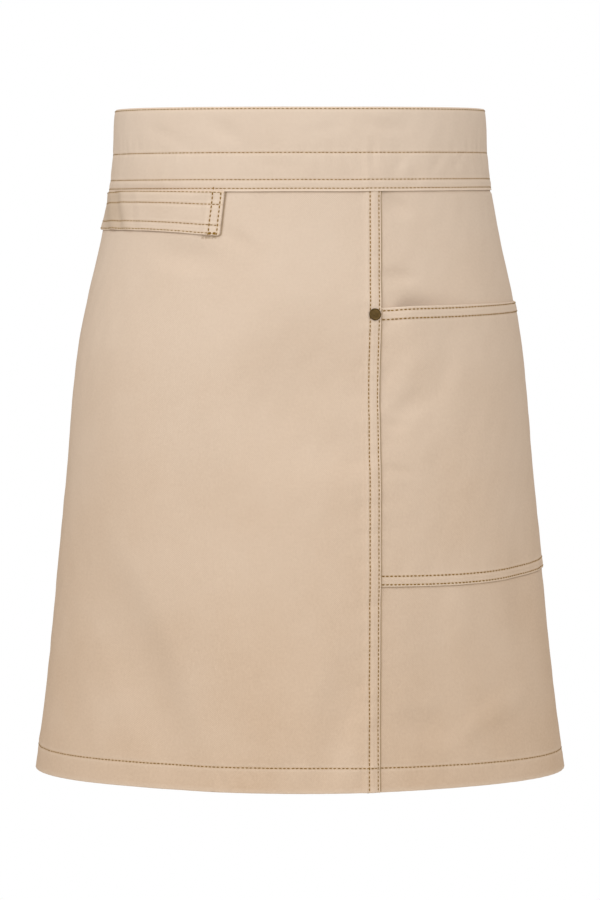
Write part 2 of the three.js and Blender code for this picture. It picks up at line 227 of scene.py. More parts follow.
# Rivet: a flat cap with a low rim and crown, a post and a plate behind the cloth
RIVET_X = 0.0596
RIVET_HEIGHT = -0.1335
CAP_RADIUS = 0.0049
CAP_BASE = 0.0038
CAP_ROUND = 0.0003
CAP_WALL = 0.0006
CAP_FACE = CAP_BASE + 0.0010
CAP_CROWN = 0.0002
RIM_RISE = 0.0001
RIM_CREST = 0.0007
RIM_WIDTH = 0.0011
CAP_FLAT = 0.68
CAP_RISE = 0.40
PLATE_RADIUS = 0.0040
PLATE_TOP = -0.0004
PLATE_FOOT = PLATE_TOP - 0.0010
PLATE_ROUND = 0.0004
POST_RADIUS = 0.0016
RIVET_STEPS = 48

# Rows of stitches, by height or by distance from an edge; those along the loop and its bar tack are
# shares of its height, and ROW_END values are degrees short of an end
BAND_STITCHES = (0.0326, -0.0026, -0.0244, -0.0315)
HEM_STITCH = -0.4960
MOUTH_STITCHES = (-0.1307, -0.1377)
POCKET_FOOT_STITCHES = (-0.3488, -0.3420)
POCKET_STITCHES = (*MOUTH_STITCHES, *POCKET_FOOT_STITCHES)
ROW_INSET = 0.0025
TIE_STITCHES = (TIE_FOOT + ROW_INSET, TIE_TOP - ROW_INSET)
LOOP_STITCHES = (0.046, 0.233, 0.698, 0.969)
LOOP_END_STITCHES = (0.0025, 0.0090)
LOOP_END_ROW = (0.02, 0.99)
BAR_TACK = (0.058, 0.072, 0.086)
BAR_TACK_PAST = 0.0006
OVER_BAND_ROW = (BAND_EDGE + 0.0008, BAND_EDGE + 0.0048)
OVER_BAND_SHIFT = 0.0002
FRAY_START = 0.0140
FRAY_END = 0.0030
FRAY_COUNT = 22
FRAY_DROP = 0.0025
FRAY_SHORTEST = 0.5
FRAY_SLANT = 0.0008
FRAY_TUCK = 0.0012
FRAY_SEED = 11
REAR_STITCH = 0.0080
ROW_END = 0.5
POCKET_ROW_END = 0.3
ROW_CLEAR = 0.001
HEM_CLEAR = 0.0012
LAP_CLEAR = 0.0008

# Stitches and how unevenly they are sewn, as shares of the pitch, of the length and of a slope
STITCH_PITCH = 0.0034
STITCH_LENGTH = 0.0028
THREAD_WIDTH = 0.00056
FINE_THREAD = 0.00037
SKIRT_THREAD = 0.00045
THREAD_HEIGHT = 0.00028
THREAD_LIFT = 0.00014
THREAD_DIP = 0.0003
PITCH_SPREAD = 0.04
LENGTH_SPREAD = 0.06
SLANT_SPREAD = 0.05
HEADING_REACH = 0.25
STITCH_SIDES = 6
STITCH_RINGS = 4

# Needle grooves; painted shade in the crease along each row and painted shadow lines under the edges of
# overlying pieces; a painted highlight beside rows and paler wear at turned edges
GROOVE_DEPTH = 0.00022
GROOVE_WIDTH = 0.0013
LOOP_GROOVE = 0.8
TIE_GROOVE = 0.6
# Painted shade darkening the crease along each row of stitches
SEWN_SHADE_WIDTH = 0.0008
SEWN_PAINTED_SHADE = 0.12
SEWN_WIDTH = 0.0008
EDGE_WIDTH = 0.0018
# Painted highlight: a pale band either side of each row of stitches
HIGHLIGHT_BESIDE = 0.0019
HIGHLIGHT_WIDTH = 0.0008
HIGHLIGHT_SHARE = 0.6
# Painted shadow lines just past the edges of pieces that lie over another, and how dark each is
COVER_STEP = 0.0006
COVER_WIDTH = 0.0007
BAND_SHADE = 0.30
LAP_SHADE = 0.95
FOOT_SHADE = 0.45
LOOP_FOOT_SHADE = 0.04
LOOP_END_SHADE = 1.0

# Swells between rows, puckers beside them, the roping of the hem and the dent round the rivet
LAP_PUFF = 0.00045
BAND_PUFFS = (0.00070, 0.00040, 0.00020)
Pucker = namedtuple("Pucker", "depth width seed")
LAP_PUCKER = Pucker(0.00030, 0.016, 11)
HEM_PUCKER = Pucker(0.00022, 0.012, 12)
MOUTH_PUCKER = Pucker(0.00014, 0.014, 13)
FOOT_PUCKER = Pucker(0.00025, 0.012, 14)
POCKET_LAP_PUCKER = Pucker(0.00030, 0.014, 15)
TUNNEL_PUCKER = Pucker(0.00030, 0.012, 21)
BAND_PUCKER = Pucker(0.00025, 0.010, 22)
PUCKER_LENGTH = 0.016
PUCKER_SLANT = 0.4
ROPING_DEPTH = 0.00022
ROPING_LENGTH = 0.013
ROPING_RISE = 0.024
ROPING_GIRTH = 1.25
ROPING_TOP = HEM_STITCH + 0.006
ROPING_FULL = HEM_STITCH - 0.004
RIVET_DENT = 0.0003
RIVET_DENT_WIDTH = 0.007
PAST_LAP = 0.001

# Doubled cloth of the pocket's mouth and foot, and where the waistband stops rising over the lap
MOUTH_HEM_FOOT = (POCKET_TOP - MOUTH_HEM - 0.001, POCKET_TOP - MOUTH_HEM + 0.001)
FOOT_TURN = (POCKET_FOOT_STITCHES[1] + 0.0006, POCKET_FOOT_STITCHES[1] + 0.0022)
FOOT_EXTRA = 0.3
CLEAR_OF_LAP = (0.0004, -0.0006)
OVER_LAP_TOP = 0.006
BAND_PLIES = 2 * LAYER + PLY

# Walls of the cloth pieces and their rounded rims
PANEL_WALL = PLY * 0.9
POCKET_WALL = MOUTH_PLIES * 0.47
RIM_SHARE = 0.3
RIM_SEGMENTS = 2
RIM_ANGLE = 50

# Grid steps, numbers of columns and points along a row of stitches
CLOTH_STEP = 0.0036
FINE_STEP = 0.0028
HEM_STEP = 0.0060
FOLD_STEPS = 8
GROOVE_ROWS = (-0.0030, -0.0016, -0.0008, 0.0, 0.0008, 0.0016, 0.0030)
GROOVE_CLEAR = 0.0040
LEAST_STEP = 1e-4
FRONT_COLUMNS = (90, 54)
BESIDE_LOOP = (LOOP_END_X_FOOT - 0.0030, LOOP_END_X_TOP + 0.0022)
BESIDE_LOOP_COLUMNS = 15
BESIDE_LOOP_STEP = 0.0020
LOOP_FOOT_ROWS = 6
SIDE_COLUMNS = 105
POCKET_COLUMNS = 80
BAND_COLUMNS = (140, 90)
LOOP_COLUMNS = 90
LOOP_INSIDE_ROWS = 10
LOOP_ROW_STOP = -7
TIE_COLUMNS = 84
ROUND_POINTS = 600
LAP_POINTS = 400
PANEL_POINTS = 500
POCKET_POINTS = 300
LOOP_END_POINTS = 60
TACK_POINTS = 20
OVER_BAND_POINTS = 12
FRAY_POINTS = 8
HALVINGS = 40
SAME_POINT = 1e-6


def smooth_table(rows, key):
    """Reads the other columns of a table smoothly at any value of its key column."""
    names = [name for name in rows[0]._fields if name != key]
    keys = np.array([getattr(row, key) for row in rows], float)
    values = np.array([[getattr(row, name) for name in names] for row in rows])
    slopes = np.diff(values, axis=0) / np.diff(keys)[:, None]
    tangents = np.vstack([slopes[:1], (slopes[1:] + slopes[:-1]) / 2, slopes[-1:]])

    def read(at):
        at = np.clip(np.asarray(at, float), keys[0], keys[-1])
        low = np.clip(np.searchsorted(keys, at, side="right") - 1, 0, len(keys) - 2)
        span = (keys[low + 1] - keys[low])[..., None]
        part = (at - keys[low])[..., None] / span
        turned = part * part * (3 - 2 * part)
        result = (
            values[low] * (1 - turned)
            + values[low + 1] * turned
            + tangents[low] * span * part * (1 - part) ** 2
            - tangents[low + 1] * span * part**2 * (1 - part)
        )
        return dict(zip(names, np.moveaxis(result, -1, 0)))

    return read


section_at = smooth_table(SECTIONS, "height")
loop_at = smooth_table(LOOP, "angle")


def smoothstep(value, low, high):
    part = np.clip((value - low) / (high - low), 0, 1)
    return part * part * (3 - 2 * part)


def mix(low, high, part):
    return low + (high - low) * part


def ripple(across, along, length, seed):
    """Seeded soft unevenness, about -1 to 1, with waves near one length."""
    pick = np.random.default_rng(seed)
    total = 0
    for _ in range(RIPPLE_WAVES):
        heading, phase = pick.uniform(0, math.tau, 2)
        stretch = pick.uniform(*RIPPLE_SPREAD) * math.tau / length
        total = total + np.sin((across * math.cos(heading) + along * math.sin(heading)) * stretch + phase)
    return total / math.sqrt(RIPPLE_WAVES)


def uneven(angle, height, row):
    return row.depth * ripple(angle * GIRTH, height, row.length, row.seed)


# Worn form


def form_point(angle, height):
    row = section_at(height)
    swell = 1 + row["square"] * np.sin(2 * angle) ** 2
    depth = np.where(np.cos(angle) > 0, row["front"], row["back"])
    side = np.where(np.abs(angle) > math.pi / 2, 1, np.sin(angle) ** 2)
    rise = np.where(angle < 0, row["rise_left"], row["rise_right"]) * side
    across = row["lean"] + row["half_width"] * np.sin(angle) * swell
    return np.stack([across, -depth * np.cos(angle) * swell, height + rise], axis=-1)


def form_normal(angle, height):
    step = 1e-4
    along = form_point(angle + step, height) - form_point(angle - step, height)
    up = form_point(angle, height + step) - form_point(angle, height - step)
    normal = np.cross(along, up)
    return normal / np.linalg.norm(normal, axis=-1, keepdims=True)


def fold_depth(x, height):
    depth = 0
    for fold in FOLDS:
        turn = math.radians(fold.turn)
        along = ((height - fold.height) * math.cos(turn) - (x - fold.x) * math.sin(turn)) / fold.long
        across = ((x - fold.x) * math.cos(turn) + (height - fold.height) * math.sin(turn)) / fold.wide
        depth = depth + fold.depth * (1 - np.minimum(along**2 + across**2, 1)) ** 2
    return depth


def cloth_point(angle, height, offset):
    point = form_point(angle, height)
    folds = np.where(np.cos(angle) > 0, fold_depth(point[..., 0], height), 0)
    relief = uneven(angle, height, UNEVEN_BROAD) * np.cos(angle) ** 2 + uneven(angle, height, UNEVEN_FINE)
    return point + form_normal(angle, height) * (offset - folds + relief)[..., None]


def angle_at_x(x, height):
    """Angle at which the front of the form has a given x."""
    low = np.full(np.broadcast(x, height).shape, -math.pi / 2)
    high = -low
    for _ in range(HALVINGS):
        middle = (low + high) / 2
        short = form_point(middle, height)[..., 0] < x
        low = np.where(short, middle, low)
        high = np.where(short, high, middle)
    return (low + high) / 2


def seam_x(height):
    return mix(SEAM_X_HEM, SEAM_X_WAIST, (height - HEM_EDGE) / (BAND_EDGE - HEM_EDGE))


def lap_distance(angle, height):
    """Distance before the lap's turned edge: large on the front panel, negative past the seam."""
    front = seam_x(height) - form_point(angle, height)[..., 0]
    return np.where(np.cos(angle) > 0, front, np.where(angle < 0, GIRTH, -GIRTH))


# Columns: functions of height that give the angle of one line of the grid


def at_angle(degrees):
    return lambda height: np.full(np.shape(height), math.radians(degrees))


def before_lap(distance):
    return lambda height: angle_at_x(seam_x(height) - distance, height)


def at_x(x):
    return lambda height: angle_at_x(x, height)


def fan(start, end, count):
    def between(part):
        return lambda height: mix(start(height), end(height), part)

    return [between(part) for part in np.linspace(0, 1, count + 1)]


def rows_between(low, high, step, lines):
    """Heights from low to high, closer together beside each row of stitches."""
    close = [line + away for line in lines for away in GROOVE_ROWS if low < line + away < high]
    plain = np.linspace(low, high, max(2, round((high - low) / step) + 1))
    kept = [row for row in plain if all(abs(row - line) > GROOVE_CLEAR for line in lines)]
    rows = sorted(set([low, high, *kept, *close]))
    return np.array([row for i, row in enumerate(rows) if i == 0 or row - rows[i - 1] > LEAST_STEP])


def hem_path(inside, turn, outside, plies):
    """Rows (height, drop below the outer face) down the inside, round the foot and up the outside."""
    arc = np.linspace(0, math.pi, FOLD_STEPS + 1)[1:-1]
    heights = [*inside[::-1], *(turn - plies / 2 * np.sin(arc)), *outside]
    drops = [*np.full(len(inside), plies), *(plies / 2 * (1 + np.cos(arc))), *np.zeros(len(outside))]
    return np.array(heights), np.array(drops)


def top_fold_path(outside, turn, inside, plies):
    """Rows up the outside, over the top and down the inside."""
    arc = np.linspace(0, math.pi, FOLD_STEPS + 1)[1:-1]
    heights = [*outside, *(turn + plies / 2 * np.sin(arc)), *inside[::-1]]
    drops = [*np.zeros(len(outside)), *(plies / 2 * (1 - np.cos(arc))), *np.full(len(inside), plies)]
    return np.array(heights), np.array(drops)


# Relief


def near(distances, width):
    return sum(np.exp(-((distance / width) ** 2)) for distance in distances)


def grooves(lines, share=1.0):
    """Needle grooves along rows of stitches."""
    return -GROOVE_DEPTH * share * near(lines, GROOVE_WIDTH)


def puff(height, low, high):
    """Swell of the cloth between two rows of stitches."""
    return np.sin(math.pi * np.clip((height - low) / (high - low), 0, 1))


def puckers(along, across, row):
    """Short ripples that a row of stitches draws into the cloth beside it."""
    wave = ripple(along, across * PUCKER_SLANT, PUCKER_LENGTH, row.seed)
    return row.depth * (wave * np.exp(-((across / row.width) ** 2)))


def rear_distance(angle, height, end):
    form = section_at(height)
    radius = (form["half_width"] + form["back"]) / 2
    return (math.radians(end) - np.abs(angle)) * radius


def lap_lift(angle, height):
    """Lift of the lap: one layer over the side panel, two where the pocket's edge is caught as well."""
    distance = lap_distance(angle, height)
    rising = 1 - smoothstep(distance, LAP_COVER, LAP_RAMP)
    falling = smoothstep(distance, -LAP_FADE, 0)
    high = POCKET_TOP + LAP_MARGIN
    low = POCKET_EDGE - LAP_MARGIN
    above = 1 - smoothstep(height, high, high + LAP_BLEND)
    below = smoothstep(height, low - LAP_BLEND, low)
    return rising * falling * LAYER * (1 + above * below)


def bell(x, middle, left, right):
    """Swell that is full at its middle and none at its ends."""
    reach = np.where(x < middle, left, right)
    return np.cos(np.clip((x - middle) / reach, -1, 1) * math.pi / 2) ** 2


def mouth_open(angle, height):
    """How far the pocket mouth stands open beside the seam."""
    x = form_point(angle, height)[..., 0]
    down = np.clip((POCKET_TOP - height) / MOUTH_REACH, 0, 1)
    swell = MOUTH_OPEN * bell(x, MOUTH_X, MOUTH_LEFT, MOUTH_RIGHT) * (1 - down) ** 2
    return np.where(np.cos(angle) > 0, swell, 0)


def panel_dip(angle, height):
    """How far the side panel turns in behind the pocket mouth."""
    x = form_point(angle, height)[..., 0]
    reach = np.where(height > POCKET_TOP, PANEL_DIP_ABOVE, PANEL_DIP_BELOW)
    away = np.clip(np.abs(POCKET_TOP - height) / reach, 0, 1)
    dip = PANEL_DIP * bell(x, PANEL_DIP_X, PANEL_DIP_LEFT, PANEL_DIP_RIGHT) * (1 - away) ** 2
    return np.where(np.cos(angle) > 0, dip, 0)


def side_swell(angle, height):
    """Soft roll of a panel where it leaves the waistband, at the sides."""
    leaving = smoothstep(height, BAND_EDGE, BAND_EDGE - SIDE_SWELL_START)
    fading = smoothstep(height, BAND_EDGE - SIDE_SWELL_REACH, BAND_EDGE - SIDE_SWELL_START)
    swell = np.where(angle < 0, SIDE_SWELL_LEFT, SIDE_SWELL_RIGHT)
    return swell * leaving * fading * np.sin(angle) ** 2


def panel_level(angle, height):
    """Height of a panel's row: the row of hem stitches runs a little lower toward the sides."""
    narrows = np.where(angle < 0, HEM_NARROWS_LEFT, HEM_NARROWS_RIGHT) * np.abs(np.sin(angle))
    near_row = smoothstep(height, HEM_EDGE, HEM_STITCH)
    near_row = near_row * smoothstep(height, HEM_STITCH + HEM_NARROWS_REACH, HEM_STITCH)
    return height - narrows * near_row


def pocket_level(angle, height):
    """Height of a pocket's row: its foot sags between the seam and the side, its mouth narrows there."""
    side = np.clip(angle, 0, math.pi / 2)
    low = smoothstep(height, POCKET_EDGE + FOOT_SAG_REACH, POCKET_EDGE)
    high = smoothstep(height, MOUTH_STITCHES[0], POCKET_TOP)
    return height - FOOT_SAG * low * np.sin(2 * side) ** 2 - MOUTH_NARROWS * high * np.sin(side) ** 4


def plain_level(angle, height):
    return height


def hem_roping(angle, height):
    """Slanting ripples of the turned-up hem."""
    turns = angle * GIRTH * ROPING_GIRTH / ROPING_LENGTH + (height - HEM_STITCH) / ROPING_RISE
    return smoothstep(height, ROPING_TOP, ROPING_FULL) * ROPING_DEPTH * np.sin(math.tau * turns)


# Rows of stitches and worn edges on each piece, as distances from them


def level_rows(*rows):
    return lambda angle, height: [height - row for row in rows]


def front_edges(angle, height):
    return [height - HEM_EDGE, lap_distance(angle, height)]


def front_lines(angle, height):
    distance = lap_distance(angle, height)
    seam = [distance - row for row in SEAM_STITCHES]
    rear = rear_distance(angle, height, REAR_END) - REAR_STITCH
    return [height - HEM_STITCH, *seam, np.where(angle < 0, rear, GIRTH)]


def side_lines(angle, height):
    return [height - HEM_STITCH, rear_distance(angle, height, REAR_END) - REAR_STITCH]


def pocket_lines(angle, height):
    level = [height - row for row in POCKET_STITCHES]
    return [*level, rear_distance(angle, height, POCKET_END) - ROW_INSET]


def loop_part(angle, height):
    row = loop_at(np.degrees(angle))
    return (height - row["foot"]) / (row["top"] - row["foot"])


def loop_end_x(part):
    """x of the loop's front end, its lower corner rounded."""
    tall = LOOP[-1].top - LOOP[-1].foot
    into_corner = np.clip(LOOP_CORNER - part * tall, 0, LOOP_CORNER)
    inset = LOOP_CORNER - np.sqrt(LOOP_CORNER**2 - into_corner**2)
    return mix(LOOP_END_X_FOOT, LOOP_END_X_TOP, part) - inset


def loop_end_distance(angle, height):
    return loop_end_x(loop_part(angle, height)) - form_point(angle, height)[..., 0]


def loop_lines(angle, height):
    row = loop_at(np.degrees(angle))
    level = [(loop_part(angle, height) - line) * (row["top"] - row["foot"]) for line in LOOP_STITCHES]
    end = loop_end_distance(angle, height)
    return [*level, *[end - line for line in LOOP_END_STITCHES]]


# Where another piece's edge lies on a piece: distances from it, and how dark the painted shadow line beside
# it is


def loop_edge(angle, height):
    """Distance outside the towel loop's foot and front end, and how dark the painted shadow there is."""
    past_end = -loop_end_distance(angle, height)
    below_foot = loop_at(np.degrees(angle))["foot"] - height
    corner = np.hypot(np.maximum(past_end, 0), np.maximum(below_foot, 0))
    outside = np.where(corner > 0, corner, np.maximum(past_end, below_foot))
    shade = np.where(past_end > below_foot, LOOP_END_SHADE, LOOP_FOOT_SHADE)
    return np.where(angle > math.radians(LOOP_END), outside, GIRTH) - LOOP_SHADOW, shade


def front_covers(angle, height):
    return [(height - BAND_EDGE + COVER_STEP, BAND_SHADE), loop_edge(angle, height)]


def side_covers(angle, height):
    foot = height - pocket_level(angle, np.full_like(height, POCKET_EDGE)) + COVER_STEP
    foot = np.where(angle < math.radians(POCKET_END), foot, GIRTH)
    lap = lap_distance(angle, height) + COVER_STEP
    return [(height - BAND_EDGE + COVER_STEP, BAND_SHADE), (lap, LAP_SHADE), (foot, FOOT_SHADE)]


def pocket_covers(angle, height):
    return [(lap_distance(angle, height) + COVER_STEP, LAP_SHADE)]


band_lines = level_rows(*BAND_STITCHES)
tie_lines = level_rows(*TIE_STITCHES)
nothing_over = level_rows()


# Outer faces: offset of each piece from the worn form, less a drop below the outer face


def front_face(angle, height, drop):
    distance = lap_distance(angle, height)
    rivet = (form_point(angle, height)[..., 0] - RIVET_X) ** 2 + (height - RIVET_HEIGHT) ** 2
    relief = (
        grooves(front_lines(angle, height))
        + LAP_PUFF * puff(distance, *SEAM_STITCHES)
        + hem_roping(angle, height)
        + puckers(height, distance - SEAM_STITCHES[1], LAP_PUCKER)
        + puckers(angle * GIRTH, height - HEM_STITCH, HEM_PUCKER)
        - RIVET_DENT * np.exp(-rivet / RIVET_DENT_WIDTH**2) * (distance > -PAST_LAP)
    )
    covered = distance < LAP_COVER + PLY_GAP
    drop = np.where(covered, np.minimum(drop, PANEL_WALL), drop)
    return lap_lift(angle, height) + side_swell(angle, height) + PLY + relief - drop


def side_face(angle, height, drop):
    relief = grooves(side_lines(angle, height)) + hem_roping(angle, height)
    relief = relief + puckers(angle * GIRTH, height - HEM_STITCH, HEM_PUCKER)
    return side_swell(angle, height) - panel_dip(angle, height) + PLY + relief - drop


def pocket_face(angle, height, drop):
    lap = lap_distance(angle, height)
    relief = (
        grooves(pocket_lines(angle, height))
        + puckers(angle * GIRTH, height - MOUTH_STITCHES[1], MOUTH_PUCKER)
        + puckers(angle * GIRTH, height - POCKET_FOOT_STITCHES[1], FOOT_PUCKER)
        + puckers(height, lap + PAST_LAP, POCKET_LAP_PUCKER)
    )
    hem = smoothstep(height, *MOUTH_HEM_FOOT)
    foot = 1 - smoothstep(height, *FOOT_TURN)
    doubled = MOUTH_EXTRA * np.maximum(hem, foot * FOOT_EXTRA) * smoothstep(lap, *CLEAR_OF_LAP)
    return LAYER + PLY - POCKET_PRESS + doubled + mouth_open(angle, height) + relief - drop


def band_face(angle, height, drop):
    relief = grooves(band_lines(angle, height))
    for depth, high, low in zip(BAND_PUFFS, BAND_STITCHES, BAND_STITCHES[1:]):
        relief = relief + depth * puff(height, low, high)
    for line, row in zip(BAND_STITCHES[1:], (TUNNEL_PUCKER, BAND_PUCKER)):
        relief = relief + puckers(angle * GIRTH, height - line, row)
    over_lap = lap_lift(angle, np.full_like(height, BAND_EDGE)) * smoothstep(height, OVER_LAP_TOP, PANEL_TOP)
    outside = 1 - np.clip(drop / BAND_PLIES, 0, 1)
    return LAYER + PLY + over_lap * outside + relief * (2 * outside - 1) - drop


def loop_loose(x):
    """Where the strap hangs loose at the side."""
    return np.exp(-(((x - LOOP_LOOSE_X) / LOOP_LOOSE_WIDTH) ** 2))


def loop_face(angle, height, drop):
    row = loop_at(np.degrees(angle))
    part = loop_part(angle, height)
    distance = loop_end_distance(angle, height)
    x = form_point(angle, height)[..., 0]
    wave = np.sin(math.tau * (x / LOOP_RIPPLE_LENGTH + part * LOOP_RIPPLE_SLANT))
    relief = grooves(loop_lines(angle, height), LOOP_GROOVE) + LOOP_RIPPLE * loop_loose(x) * wave
    relief = relief + uneven(angle, height, LOOP_UNEVEN)
    folded = 1 - smoothstep(distance, LOOP_END_LENGTH, LOOP_END_LENGTH + LOOP_END_RAMP)
    thick = LOOP_PLIES + LOOP_END_FOLD * folded
    roll = np.clip(1 - distance / (thick / 2), 0, 1)
    rolled = thick / 2 * (1 - np.sqrt(1 - roll**2))
    side = 1 - 2 * np.clip(drop / LOOP_PLIES, 0, 1)
    stand = mix(row["stand_foot"] * LOOP_EASE_FOOT, row["stand_top"] * LOOP_EASE_TOP, part)
    over_band = np.maximum(LOOP_OVER_BAND - stand, 0) * smoothstep(height, *LOOP_OVER_BAND_RISE)
    stand = stand + over_band * smoothstep(angle, *np.radians(LOOP_OVER_BAND_ANGLES))
    return LAYER + thick + stand + relief * np.maximum(side, 0) - rolled * side - drop * thick / LOOP_PLIES


def tie_face(angle, height, drop):
    return PLY + grooves(tie_lines(angle, height), TIE_GROOVE) + uneven(angle, height, TIE_UNEVEN) - drop


Surface = namedtuple("Surface", "face level lines")
FRONT = Surface(front_face, panel_level, front_lines)
SIDE = Surface(side_face, panel_level, side_lines)
POCKET = Surface(pocket_face, pocket_level, pocket_lines)
BAND = Surface(band_face, plain_level, band_lines)
STRAP = Surface(loop_face, plain_level, loop_lines)
TIE = Surface(tie_face, plain_level, tie_lines)


# Meshes


def add_object(name, mesh, material):
    mesh.materials.append(material)
    mesh.shade_smooth()
    piece = bpy.data.objects.new(name, mesh)
    bpy.context.scene.collection.objects.link(piece)
    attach(piece, "root")
    return piece


def grid_mesh(name, points):
    """A grid of rows and columns moved to its points, with the length of cloth along it as its UV map."""
    rows, columns = points.shape[:2]
    bm = bmesh.new()
    bmesh.ops.create_grid(bm, x_segments=columns - 1, y_segments=rows - 1, size=0.5)
    mesh = bpy.data.meshes.new(name)
    bm.to_mesh(mesh)
    bm.free()
    flat = np.empty(len(mesh.vertices) * 3)
    mesh.vertices.foreach_get("co", flat)
    flat = flat.reshape(-1, 3)
    column = np.rint((flat[:, 0] + 0.5) * (columns - 1)).astype(int)
    row = np.rint((flat[:, 1] + 0.5) * (rows - 1)).astype(int)
    mesh.vertices.foreach_set("co", points[row, column].ravel())
    across = np.linalg.norm(np.diff(points, axis=1), axis=-1)
    along = np.linalg.norm(np.diff(points, axis=0), axis=-1)
    u = np.pad(np.cumsum(across, axis=1), ((0, 0), (1, 0)))
    v = np.pad(np.cumsum(along, axis=0), ((1, 0), (0, 0)))
    u = u - u.mean(axis=1, keepdims=True)
    corner = np.empty(len(mesh.loops), dtype=np.int32)
    mesh.loops.foreach_get("vertex_index", corner)
    weave = np.stack([u[row, column], v[row, column]], axis=-1)[corner]
    mesh.uv_layers.new(name="weave").data.foreach_set("uv", weave.astype(np.float32).ravel())
    return mesh, (row, column)


def set_wear_and_painted_light(mesh, places, lines, dark, edge):
    """Keeps each point's painted shade (in the crease along rows and under overlying edges), its worn edge
    with a painted highlight beside rows, and how near it is to a row of stitches.
    """
    wear_and_painted_light = {
        "painted_shade": SEWN_PAINTED_SHADE * near(lines, SEWN_SHADE_WIDTH) + dark,
        "edge": edge + HIGHLIGHT_SHARE * near([np.abs(line) - HIGHLIGHT_BESIDE for line in lines], HIGHLIGHT_WIDTH),
        "sewn": near(lines, SEWN_WIDTH),
    }
    for name, values in wear_and_painted_light.items():
        layer = mesh.attributes.new(name, "FLOAT", "POINT")
        layer.data.foreach_set("value", np.clip(values[places], 0, 1).astype(np.float32).ravel())


def lay_cloth(name, surface, columns, path, covers, edges, wall, material):
    """A piece of cloth whose outer face is a surface, with its wall inside and soft rims."""
    heights, drops = path
    angle = np.stack([column(heights) for column in columns], axis=1)
    height = np.broadcast_to(heights[:, None], angle.shape)
    drop = np.broadcast_to(drops[:, None], angle.shape)
    level = surface.level(angle, height)
    mesh, places = grid_mesh(name, cloth_point(angle, level, surface.face(angle, height, drop)))
    # Painted shadow lines where the edges of other pieces lie over this one
    covered = [shade * near([distance], COVER_WIDTH) for distance, shade in covers(angle, level)]
    dark = sum(covered) * (drop == 0)
    set_wear_and_painted_light(mesh, places, surface.lines(angle, height), dark, near(edges(angle, height), EDGE_WIDTH))
    piece = add_object(name, mesh, material)
    ply = piece.modifiers.new("ply", "SOLIDIFY")
    ply.thickness = wall
    ply.offset = -1
    rim = piece.modifiers.new("rim", "BEVEL")
    rim.width = wall * RIM_SHARE
    rim.segments = RIM_SEGMENTS
    rim.limit_method = "ANGLE"
    rim.angle_limit = math.radians(RIM_ANGLE)
    rim.use_clamp_overlap = False
    return piece


# Stitches


def stitch_shape():
    """One stitch of unit half length along X."""
    bm = bmesh.new()
    bmesh.ops.create_uvsphere(bm, u_segments=STITCH_SIDES, v_segments=STITCH_RINGS, radius=1.0)
    bmesh.ops.rotate(bm, verts=bm.verts, cent=(0, 0, 0), matrix=Matrix.Rotation(math.pi / 2, 3, "Y"))
    bm.verts.index_update()
    points = np.array([vert.co[:] for vert in bm.verts])
    faces = [[vert.index for vert in face.verts] for face in bm.faces]
    bm.free()
    return points, faces


def row_points(surface, angle, height, drop=0.0):
    """Points along a row of stitches on a surface."""
    angle, height = np.broadcast_arrays(np.asarray(angle, float), np.asarray(height, float))
    drop = np.full(angle.shape, drop)
    return cloth_point(angle, surface.level(angle, height), surface.face(angle, height, drop))


def stitch_places(points, cloth, pick):
    """Middle, direction, side, up and half length of each stitch along a row, set on the cloth's surface."""
    lengths = np.linalg.norm(np.diff(points, axis=0), axis=1)
    run = np.concatenate([[0], np.cumsum(lengths)])
    count = max(1, int(run[-1] / STITCH_PITCH))
    pitch = run[-1] / count
    middle = (np.arange(count) + 0.5) * pitch + pick.normal(0, PITCH_SPREAD, count) * pitch
    half = STITCH_LENGTH / 2 * (1 + pick.normal(0, LENGTH_SPREAD, count)) * min(1, pitch / STITCH_PITCH)

    def along(at):
        return np.stack([np.interp(at, run, points[:, i]) for i in range(3)], axis=-1)

    found = [cloth.find_nearest(place) for place in along(middle)]
    centre = np.array([place for place, normal, face, away in found])
    normal = np.array([normal for place, normal, face, away in found])
    tangent = along(middle + HEADING_REACH * pitch) - along(middle - HEADING_REACH * pitch)
    tangent /= np.linalg.norm(tangent, axis=1, keepdims=True)
    side = np.cross(normal, tangent)
    side /= np.linalg.norm(side, axis=1, keepdims=True)
    tangent = tangent + side * pick.normal(0, SLANT_SPREAD, count)[:, None]
    return centre, tangent, side, np.cross(tangent, side), half


def sew(name, rows, piece, material, seed, width=THREAD_WIDTH):
    """All the stitches of some rows on one piece, as one mesh, their ends dipping into the cloth."""
    pick = np.random.default_rng(seed)
    shape, faces = stitch_shape()
    cloth = BVHTree.FromPolygons(
        [vert.co for vert in piece.data.vertices], [list(face.vertices) for face in piece.data.polygons]
    )
    dip = THREAD_LIFT - THREAD_DIP * shape[:, 0] ** 2
    solid, walls = [], []
    for points in rows:
        centre, tangent, side, up, half = stitch_places(points, cloth, pick)
        length = shape[None, :, 0] * half[:, None]
        stitches = (
            centre[:, None]
            + tangent[:, None] * length[..., None]
            + side[:, None] * (shape[:, 1] * width)[None, :, None]
            + up[:, None] * (shape[:, 2] * THREAD_HEIGHT + dip)[None, :, None]
        )
        for stitch in stitches:
            start = len(solid) * len(shape)
            solid.append(stitch)
            walls.extend([[start + corner for corner in wall] for wall in faces])
    mesh = bpy.data.meshes.new(name)
    mesh.from_pydata(np.concatenate(solid).tolist(), [], walls)
    mesh.update()
    return add_object(name, mesh, material)


# Materials


def linear(red, green, blue):
    """Linear colour from a colour as seen on a screen, 0 to 255."""

    def part(value):
        value /= 255
        return value / 12.92 if value <= 0.04045 else ((value + 0.055) / 1.055) ** 2.4

    return (part(red), part(green), part(blue), 1.0)


# Ribs of the weave: the wave node's diagonal bands turn by WAVE_RATE radians a unit of x + y
TWILL_PITCH = 0.0011
WAVE_RATE = 10
RIB_SCALE = math.tau / WAVE_RATE / (TWILL_PITCH * math.sqrt(2))
YARN_STRETCH = (1.0, 0.12, 1.0)

